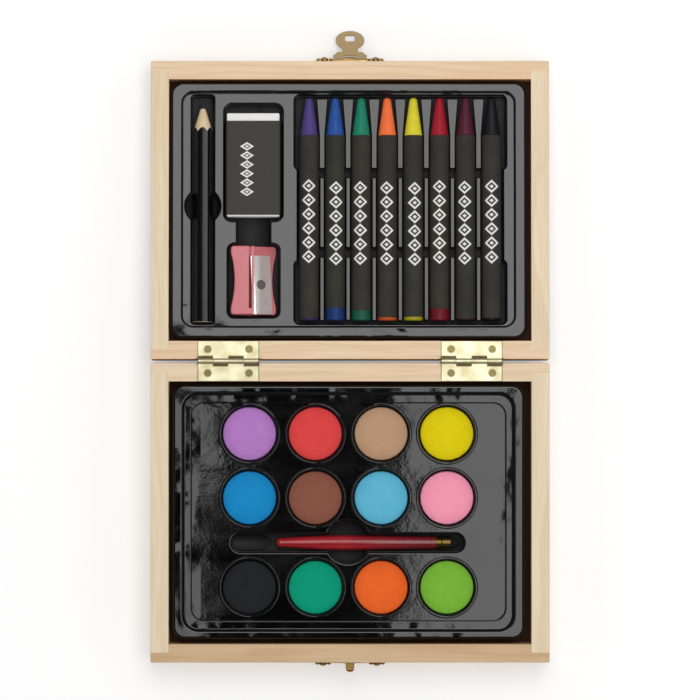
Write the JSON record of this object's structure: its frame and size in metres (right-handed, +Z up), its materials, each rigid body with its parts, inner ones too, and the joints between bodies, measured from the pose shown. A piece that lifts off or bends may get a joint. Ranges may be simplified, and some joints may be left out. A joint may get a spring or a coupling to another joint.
{
  "type": "poster paint set",
  "caption": "Hinged wooden box, open flat, with poster paints and a brush in its base and crayons, a pencil, an eraser and a sharpener in its lid.",
  "frame": {"origin": "centre of the base's underside, on the table", "axes": "+X to the right, +Y from the base's clasp side to the hinges and the open lid, +Z up"},
  "size_m": [0.16, 0.2583, 0.0201],
  "materials": {
    "box_wood": "sanded, unvarnished",
    "panel_plywood": "sanded plywood",
    "hinge_brass": "brass-plated sheet",
    "clasp_brass": "antique brass",
    "tray_plastic": "glossy formed sheet",
    "wrapper_paper": "matt printed paper",
    "pencil_wood": "black lacquer with a bare cone",
    "pencil_graphite": "graphite core",
    "eraser_rubber": "matt white rubber",
    "sleeve_card": "matt printed card",
    "sharpener_plastic": "glossy",
    "steel": "ground steel",
    "brush_wood": "red lacquer",
    "ferrule_brass": "rolled sheet",
    "bristle_hair": "fine black hair",
    "paint_violet": "pressed poster paint",
    "paint_red": "pressed poster paint",
    "paint_tan": "pressed poster paint",
    "paint_yellow": "pressed poster paint",
    "paint_blue": "pressed poster paint",
    "paint_brown": "pressed poster paint",
    "paint_sky_blue": "pressed poster paint",
    "paint_pink": "pressed poster paint",
    "paint_black": "pressed poster paint",
    "paint_green": "pressed poster paint",
    "paint_orange": "pressed poster paint",
    "paint_light_green": "pressed poster paint",
    "wax_purple": "wax",
    "wax_blue": "wax",
    "wax_green": "wax",
    "wax_orange": "wax",
    "wax_yellow": "wax",
    "wax_red": "wax",
    "wax_maroon": "wax",
    "wax_black": "wax"
  },
  "bodies": {
    "base": {"base_front_wall": "box_wood", "base_back_wall": "box_wood", "base_left_wall": "box_wood", "base_right_wall": "box_wood", "base_panel": "panel_plywood", "base_hinge_leaves": "hinge_brass", "base_nails": "clasp_brass", "catch_plate": "clasp_brass", "paint_tray": "tray_plastic", "paint_violet": "paint_violet", "paint_red": "paint_red", "paint_tan": "paint_tan", "paint_yellow": "paint_yellow", "paint_blue": "paint_blue", "paint_brown": "paint_brown", "paint_sky_blue": "paint_sky_blue", "paint_pink": "paint_pink", "paint_black": "paint_black", "paint_green": "paint_green", "paint_orange": "paint_orange", "paint_light_green": "paint_light_green"},
    "lid": {"lid_front_wall": "box_wood", "lid_back_wall": "box_wood", "lid_left_wall": "box_wood", "lid_right_wall": "box_wood", "lid_panel": "panel_plywood", "lid_hinge_leaves": "hinge_brass", "hinge_pins": "hinge_brass", "lid_nails": "clasp_brass", "clasp_plate": "clasp_brass", "clasp_pin": "clasp_brass", "tool_tray": "tray_plastic"},
    "clasp": {"clasp_flap": "clasp_brass"},
    "brush": {"brush_handle": "brush_wood", "brush_ferrule": "ferrule_brass", "brush_bristles": "bristle_hair"},
    "pencil": {"pencil_casing": "pencil_wood", "pencil_lead": "pencil_graphite"},
    "eraser": {"eraser_block": "eraser_rubber", "eraser_sleeve": "sleeve_card"},
    "sharpener": {"sharpener_body": "sharpener_plastic", "sharpener_blade": "steel", "sharpener_screw": "steel"},
    "crayon_purple": {"crayon_purple_wax": "wax_purple", "crayon_purple_wrapper": "wrapper_paper"},
    "crayon_blue": {"crayon_blue_wax": "wax_blue", "crayon_blue_wrapper": "wrapper_paper"},
    "crayon_green": {"crayon_green_wax": "wax_green", "crayon_green_wrapper": "wrapper_paper"},
    "crayon_orange": {"crayon_orange_wax": "wax_orange", "crayon_orange_wrapper": "wrapper_paper"},
    "crayon_yellow": {"crayon_yellow_wax": "wax_yellow", "crayon_yellow_wrapper": "wrapper_paper"},
    "crayon_red": {"crayon_red_wax": "wax_red", "crayon_red_wrapper": "wrapper_paper"},
    "crayon_maroon": {"crayon_maroon_wax": "wax_maroon", "crayon_maroon_wrapper": "wrapper_paper"},
    "crayon_black": {"crayon_black_wax": "wax_black", "crayon_black_wrapper": "wrapper_paper"}
  },
  "joints": [
    {"name": "lid_hinge", "type": "hinge", "parent": "base", "child": "lid", "pos_m": [0, 0.0608, 0.01905], "axis": [-1, 0, 0], "range_deg": [-182.85, 0]},
    {"name": "clasp_hinge", "type": "hinge", "parent": "lid", "child": "clasp", "pos_m": [0, 0.18253, 0.00562], "axis": [-1, 0, 0], "range_deg": [-114.96, 65.04]},
    {"name": "brush_lift", "type": "slide", "parent": "base", "child": "brush", "axis": [0, 0, 1], "range_m": [0, 0.025]},
    {"name": "pencil_lift", "type": "slide", "parent": "lid", "child": "pencil", "axis": [0, 0.0498, 0.9988], "range_m": [0, 0.025]},
    {"name": "eraser_lift", "type": "slide", "parent": "lid", "child": "eraser", "axis": [0, 0.0498, 0.9988], "range_m": [0, 0.025]},
    {"name": "sharpener_lift", "type": "slide", "parent": "lid", "child": "sharpener", "axis": [0, 0.0498, 0.9988], "range_m": [0, 0.025]},
    {"name": "crayon_purple_lift", "type": "slide", "parent": "lid", "child": "crayon_purple", "axis": [0, 0.0498, 0.9988], "range_m": [0, 0.025]},
    {"name": "crayon_blue_lift", "type": "slide", "parent": "lid", "child": "crayon_blue", "axis": [0, 0.0498, 0.9988], "range_m": [0, 0.025]},
    {"name": "crayon_green_lift", "type": "slide", "parent": "lid", "child": "crayon_green", "axis": [0, 0.0498, 0.9988], "range_m": [0, 0.025]},
    {"name": "crayon_orange_lift", "type": "slide", "parent": "lid", "child": "crayon_orange", "axis": [0, 0.0498, 0.9988], "range_m": [0, 0.025]},
    {"name": "crayon_yellow_lift", "type": "slide", "parent": "lid", "child": "crayon_yellow", "axis": [0, 0.0498, 0.9988], "range_m": [0, 0.025]},
    {"name": "crayon_red_lift", "type": "slide", "parent": "lid", "child": "crayon_red", "axis": [0, 0.0498, 0.9988], "range_m": [0, 0.025]},
    {"name": "crayon_maroon_lift", "type": "slide", "parent": "lid", "child": "crayon_maroon", "axis": [0, 0.0498, 0.9988], "range_m": [0, 0.025]},
    {"name": "crayon_black_lift", "type": "slide", "parent": "lid", "child": "crayon_black", "axis": [0, 0.0498, 0.9988], "range_m": [0, 0.025]}
  ]
}
